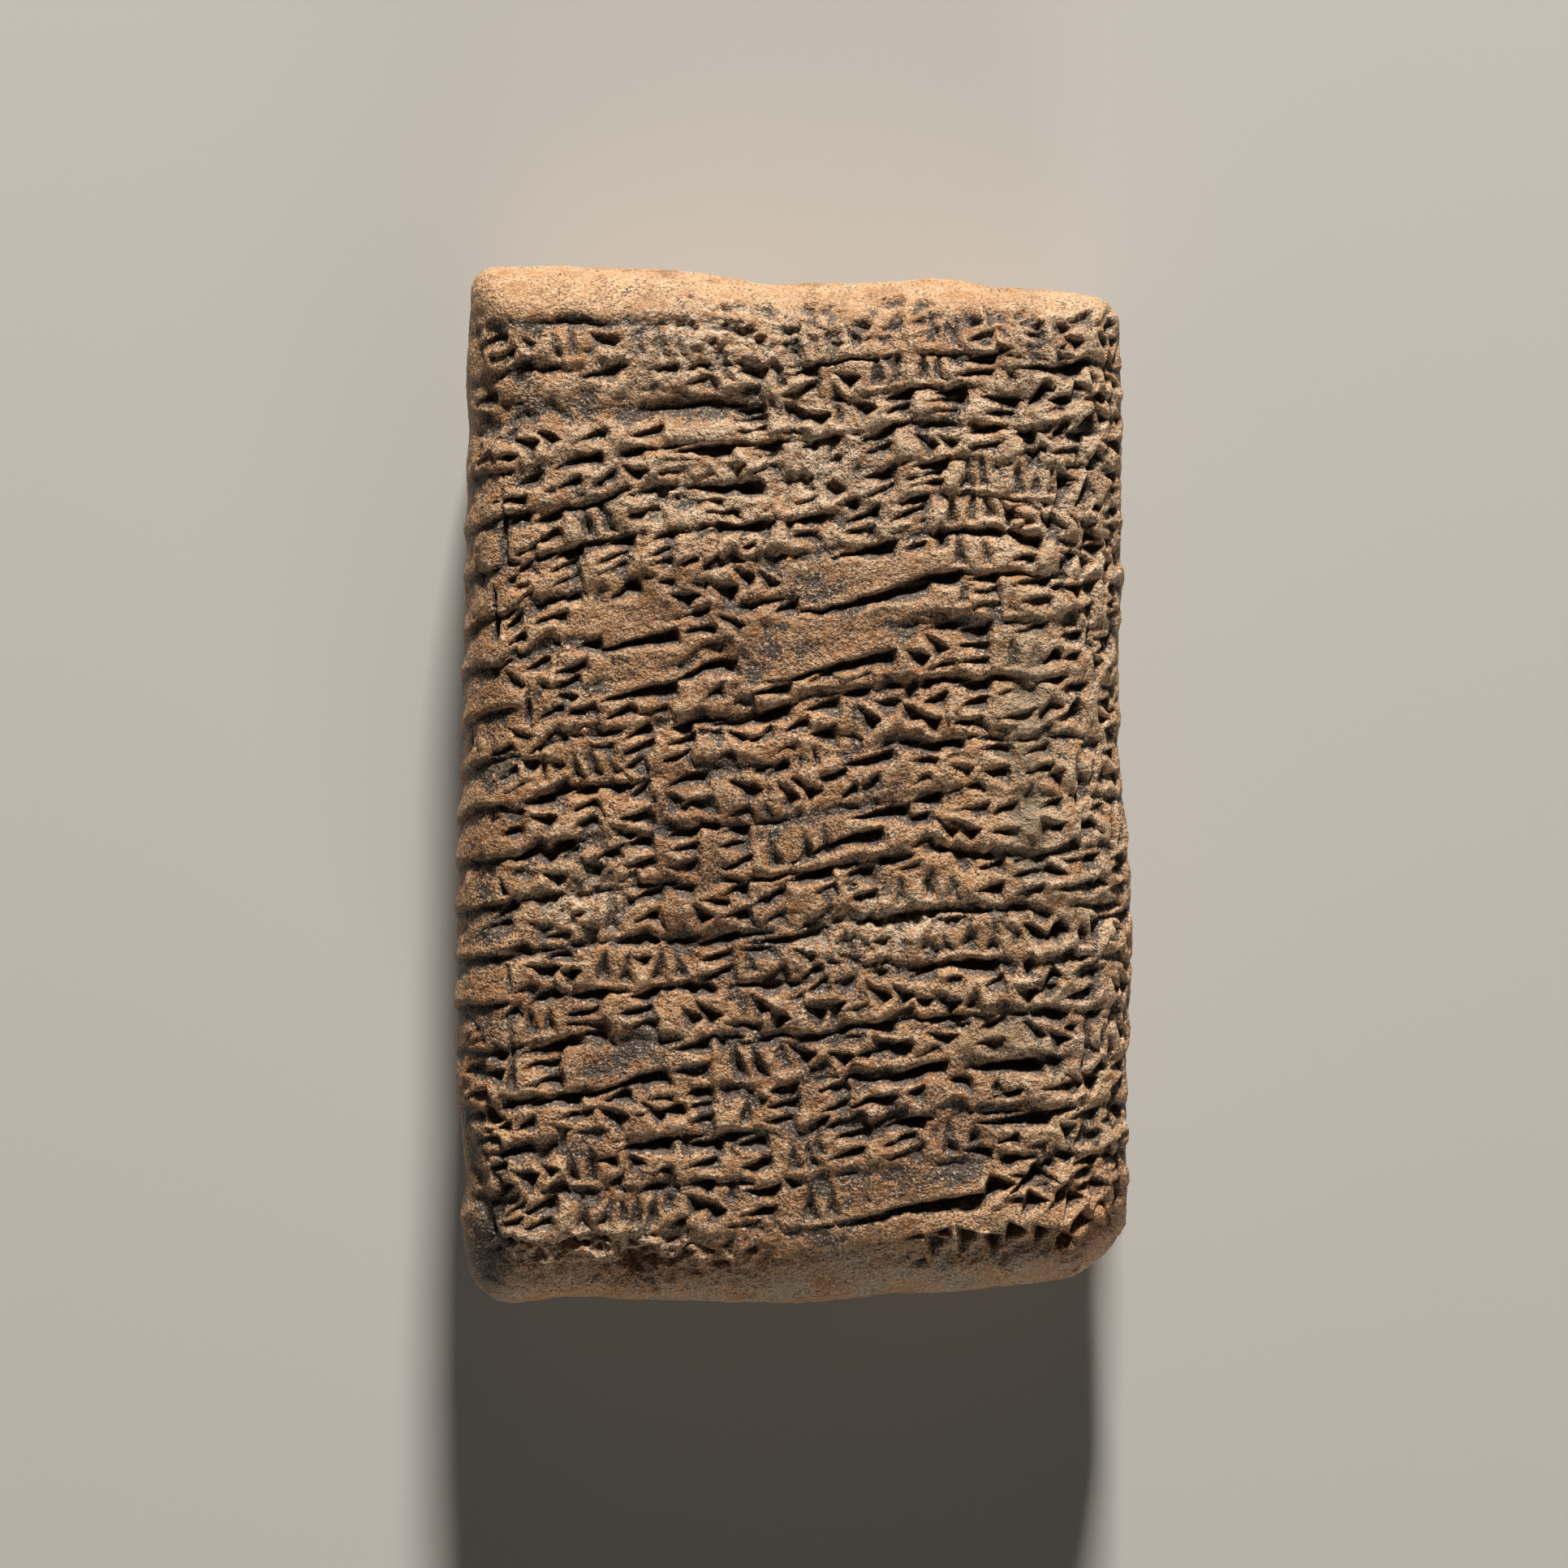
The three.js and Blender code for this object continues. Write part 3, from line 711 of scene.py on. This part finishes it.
def add(tree, kind, settings, links):
    """Adds a node: settings are its properties or its sockets' values, links feed its sockets."""
    node = tree.nodes.new("ShaderNode" + kind)
    for name, value in settings.items():
        if isinstance(name, str) and hasattr(node, name):
            setattr(node, name, value)
        else:
            node.inputs[name].default_value = value
    for name, source in links.items():
        tree.links.new(source, node.inputs[name])
    return node


# The pale rubbed colour is partly wear and partly painted highlight on the raised places.
RUBBED_CLAY, RUBBED_CLAY_DEEP, RIDGE_WEAR_AND_HIGHLIGHT = "#AC7F55", "#875B35", "#C8AB8A"
ORANGE_CLAY = "#99683A"
# The grey-brown skin of the hollows, also used for painted shade low on the face and on the chipped corner.
GREY_SKIN_AND_SHADE = "#4A413A"
DARK_GRIT, PALE_GRIT = "#2A1F17", "#E2D2BD"
HANDLED_CLAY, FOOT_CLAY, BREAK_CLAY = "#C8A077", "#A08B75", "#8C5A30"
DUST, SOIL = "#C6AD90", "#86745B"
CLAY_FINISH = {"Roughness": 0.62, "IOR": 1.45, "Specular IOR Level": 0.5}
GRAIN_HEIGHT = 0.18

# Lumps in the clay, as values round 0.5: their size in mm, detail and roughness.
LUMPS = {
    "tones": (14, 3, 0.5),
    "skin_patches": (4, 5, 0.65),
    "clusters": (2.2, 4, 0.6),
    "mottle": (0.9, 3, 0.6),
    "rough_skin": (0.7, 3, 0.6),
    "grit": (0.28, 2, 0.6),
}
# How the lumps and the mesh's own marks are worked up, in order: a name, what is done, and what
# goes in. A ramp is 0 where a value is at its first number, and 1 where it is at its second.
WORKED_UP = [
    ("deep", "RAMP", "tones", 0.4, 0.62),
    ("orange", "RAMP", "clusters", 0.52, 0.4),
    ("orange_share", "MULTIPLY", "orange", 0.6),
    ("pit_weight", "MULTIPLY", "pit", 0.5),
    ("raised", "SUBTRACT", "mottle", "pit_weight"),
    # Partly wear, partly painted highlight: raised places, away from the pits, are laid paler.
    ("pale", "RAMP", "raised", 0.56, 0.86),
    ("ridge_wear_and_highlight_share", "MULTIPLY", "pale", 0.75),
    ("handled_patches", "RAMP", "skin_patches", 0.3, 0.7),
    ("handled_share", "MULTIPLY", "handled", "handled_patches"),
    ("raised_weight", "MULTIPLY", "raised", 0.4),
    ("dust_lumps", "ADD", "clusters", "raised_weight"),
    ("dust", "RAMP", "dust_lumps", 0.5, 0.85),
    ("dusty_weight", "MULTIPLY", "dusty", 0.5),
    ("dustiness", "ADD", "dusty_weight", 0.1),
    ("dust_share", "MULTIPLY", "dustiness", "dust"),
    ("hollow_pit", "MULTIPLY", "pit", 1.5),
    ("hollow_patches", "MULTIPLY", "skin_patches", 1.7),
    ("hollow_handled", "MULTIPLY", "handled", 0.25),
    ("hollow_dusty", "MULTIPLY", "dusty", 0.08),
    # Painted shade: the grey skin is laid a little thicker towards the foot, darkening the lower face.
    ("painted_falloff_shade", "MULTIPLY", "low", 0.1),
    ("hollow_mottle", "MULTIPLY", "mottle", 0.5),
    ("hollow_grit", "MULTIPLY", "grit", 0.9),
    ("hollow", "ADD", "hollow_pit", "hollow_patches"),
    ("hollow", "SUBTRACT", "hollow", "hollow_handled"),
    ("hollow", "SUBTRACT", "hollow", "hollow_dusty"),
    ("hollow", "ADD", "hollow", "painted_falloff_shade"),
    ("hollow", "ADD", "hollow", "hollow_mottle"),
    ("hollow", "SUBTRACT", "hollow", "hollow_grit"),
    # The grey share is partly the skin left in the hollows and partly painted shade towards the foot.
    ("grey", "RAMP", "hollow", 0.59, 0.83),
    ("grey_share", "MULTIPLY", "grey", 0.9),
    ("foot_patches", "RAMP", "skin_patches", 0.42, 0.6),
    ("foot_share", "MULTIPLY", "foot", "foot_patches"),
    ("break_mottle", "RAMP", "mottle", 0.32, 0.52),
    ("break_share", "MULTIPLY", "broken", "break_mottle"),
    # Painted shade on the chipped corner of the foot.
    ("corner_shade_share", "MULTIPLY", "shaded_corner", 0.9),
    ("crumb_mottle", "RAMP", "mottle", 0.42, 0.58),
    ("crumbs", "MULTIPLY", "crumbled", "crumb_mottle"),
    ("crumb_share", "MULTIPLY", "crumbs", 0.8),
    ("grain_clusters", "RAMP", "clusters", 0.38, 0.6),
    ("grain_weight", "MULTIPLY", "grain_clusters", 0.6),
    ("grain_share", "ADD", "grain_weight", 0.25),
    ("dark_grains", "RAMP", "grit", 0.46, 0.38),
    ("dark_share", "MULTIPLY", "dark_grains", "grain_share"),
    ("pale_grains", "RAMP", "grit", 0.58, 0.68),
    ("pale_grain_share", "MULTIPLY", "pale_grains", 0.5),
    ("soil_share", "MULTIPLY", "soiled", 0.8),
    ("rough_skin_weight", "MULTIPLY", "rough_skin", 2.5),
    ("grain", "ADD", "grit", "rough_skin_weight"),
]
# Colours laid over the rubbed clay, one on another, each where its share is 1.
# Among them, the pale on raised places is partly painted highlight, and the grey low on the face and on the
# chipped corner is painted shade.
COATS = [
    (RUBBED_CLAY_DEEP, "deep"), (ORANGE_CLAY, "orange_share"), (RIDGE_WEAR_AND_HIGHLIGHT, "ridge_wear_and_highlight_share"),
    (HANDLED_CLAY, "handled_share"), (DUST, "dust_share"), (GREY_SKIN_AND_SHADE, "grey_share"),
    (FOOT_CLAY, "foot_share"), (BREAK_CLAY, "break_share"), (GREY_SKIN_AND_SHADE, "corner_shade_share"),
    (DUST, "crumb_share"), (DARK_GRIT, "dark_share"), (PALE_GRIT, "pale_grain_share"),
    (SOIL, "soil_share"),
]
# The sockets for colours on a Mix node.
UNDER, OVER, MIXED = 6, 7, 2

clay = bpy.data.materials.new("fired_clay")
clay.use_nodes = True
tree = clay.node_tree
shader = tree.nodes["Principled BSDF"]
place = add(tree, "TexCoord", {}, {}).outputs["Object"]
values = {}
for name, (size, detail, roughness) in LUMPS.items():
    settings = {"Scale": 1 / (size * MM), "Detail": detail, "Roughness": roughness}
    values[name] = add(tree, "TexNoise", settings, {"Vector": place}).outputs["Fac"]
for name in marks:
    values[name] = add(tree, "Attribute", {"attribute_name": name}, {}).outputs["Fac"]
for name, work, first, *rest in WORKED_UP:
    if work == "RAMP":
        low, high = rest
        settings = {"From Min": low, "From Max": high, "interpolation_type": "SMOOTHSTEP"}
        values[name] = add(tree, "MapRange", settings, {"Value": values[first]}).outputs["Result"]
    else:
        second = rest[0]
        settings, links = {"operation": work}, {0: values[first]}
        if second in values:
            links[1] = values[second]
        else:
            settings[1] = second
        values[name] = add(tree, "Math", settings, links).outputs[0]
below = {}
for colour, share in COATS:
    settings = {"data_type": "RGBA", UNDER: linear(RUBBED_CLAY), OVER: linear(colour)}
    coat = add(tree, "Mix", settings, {"Factor": values[share], **below})
    below = {UNDER: coat.outputs[MIXED]}
tree.links.new(coat.outputs[MIXED], shader.inputs["Base Color"])
for name, value in CLAY_FINISH.items():
    shader.inputs[name].default_value = value
bump = {"Strength": 1.0, "Distance": GRAIN_HEIGHT * MM}
grain = add(tree, "Bump", bump, {"Height": values["grain"]})
tree.links.new(grain.outputs["Normal"], shader.inputs["Normal"])
skin.materials.clear()
skin.materials.append(clay)

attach(tablet, "root")
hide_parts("tablet")

# ==== The floor ==================================================================================
# A pale board under the tablet, of matt card: even in colour and without gloss, so that it takes a
# soft shadow and no reflection.

FLOOR_SIZE = 3
FLOOR_COLOUR = "#C4C1BC"
FLOOR_ROUGHNESS = 0.9
floor_mesh = bmesh.new()
bmesh.ops.create_grid(floor_mesh, x_segments=1, y_segments=1, size=FLOOR_SIZE / 2)
floor = bpy.data.objects.new("floor", bpy.data.meshes.new("floor"))
floor_mesh.to_mesh(floor.data)
floor_mesh.free()
bpy.context.scene.collection.objects.link(floor)
board = bpy.data.materials.new("matt_board")
board.use_nodes = True
board_shader = board.node_tree.nodes["Principled BSDF"]
board_shader.inputs["Base Color"].default_value = linear(FLOOR_COLOUR)
board_shader.inputs["Roughness"].default_value = FLOOR_ROUGHNESS
floor.data.materials.append(board)

# ==== The light and the camera ===================================================================
# One soft lamp rakes low over the face from its upper edge, as tablets are lit to be read. A wide,
# weak one fills the shadows from the foot, and the room gives a little light from all round.
LAMP_COLOUR = "#FFFBF4"
LAMP_TARGET = (0, 0, 0.02)
# Square lamps: azimuth from +X towards +Y and elevation in degrees, distance, size, watts.
LAMPS = {"raking_lamp": (86, 23, 2.2, 0.26, 100), "filling_lamp": (282, 14, 2.4, 0.8, 18)}
ROOM_COLOUR, ROOM_STRENGTH = "#F4F4F4", 0.015

for name, (azimuth, elevation, distance, size, watts) in LAMPS.items():
    data = bpy.data.lights.new(name, "AREA")
    data.size = size
    data.energy = watts
    data.color = linear(LAMP_COLOUR)[:3]
    a, e = math.radians(azimuth), math.radians(elevation)
    place = Vector((math.cos(a) * math.cos(e), math.sin(a) * math.cos(e), math.sin(e))) * distance
    lamp = bpy.data.objects.new(name, data)
    lamp.location = place
    lamp.rotation_euler = (Vector(LAMP_TARGET) - place).to_track_quat("-Z", "Y").to_euler()
    bpy.context.scene.collection.objects.link(lamp)
world = bpy.data.worlds.new("room")
world.use_nodes = True
world.node_tree.nodes["Background"].inputs["Color"].default_value = linear(ROOM_COLOUR)
world.node_tree.nodes["Background"].inputs["Strength"].default_value = ROOM_STRENGTH
bpy.context.scene.world = world

# The camera looks straight down on the face, its upper edge up, through a long lens.
LENS, FILM = 120, 36
FIELD_WIDTH = 154.6 * MM
FACE_HEIGHT = 26 * MM
LOOK_AT = (-0.92 * MM, 0.16 * MM)
camera_data = bpy.data.cameras.new("camera")
camera_data.lens = LENS
camera_data.sensor_width = FILM
camera_data.clip_start = 0.01
camera = bpy.data.objects.new("camera", camera_data)
camera.location = (*LOOK_AT, FACE_HEIGHT + FIELD_WIDTH * LENS / FILM)
bpy.context.scene.collection.objects.link(camera)
bpy.context.scene.camera = camera
bpy.context.scene.view_settings.view_transform = "Standard"
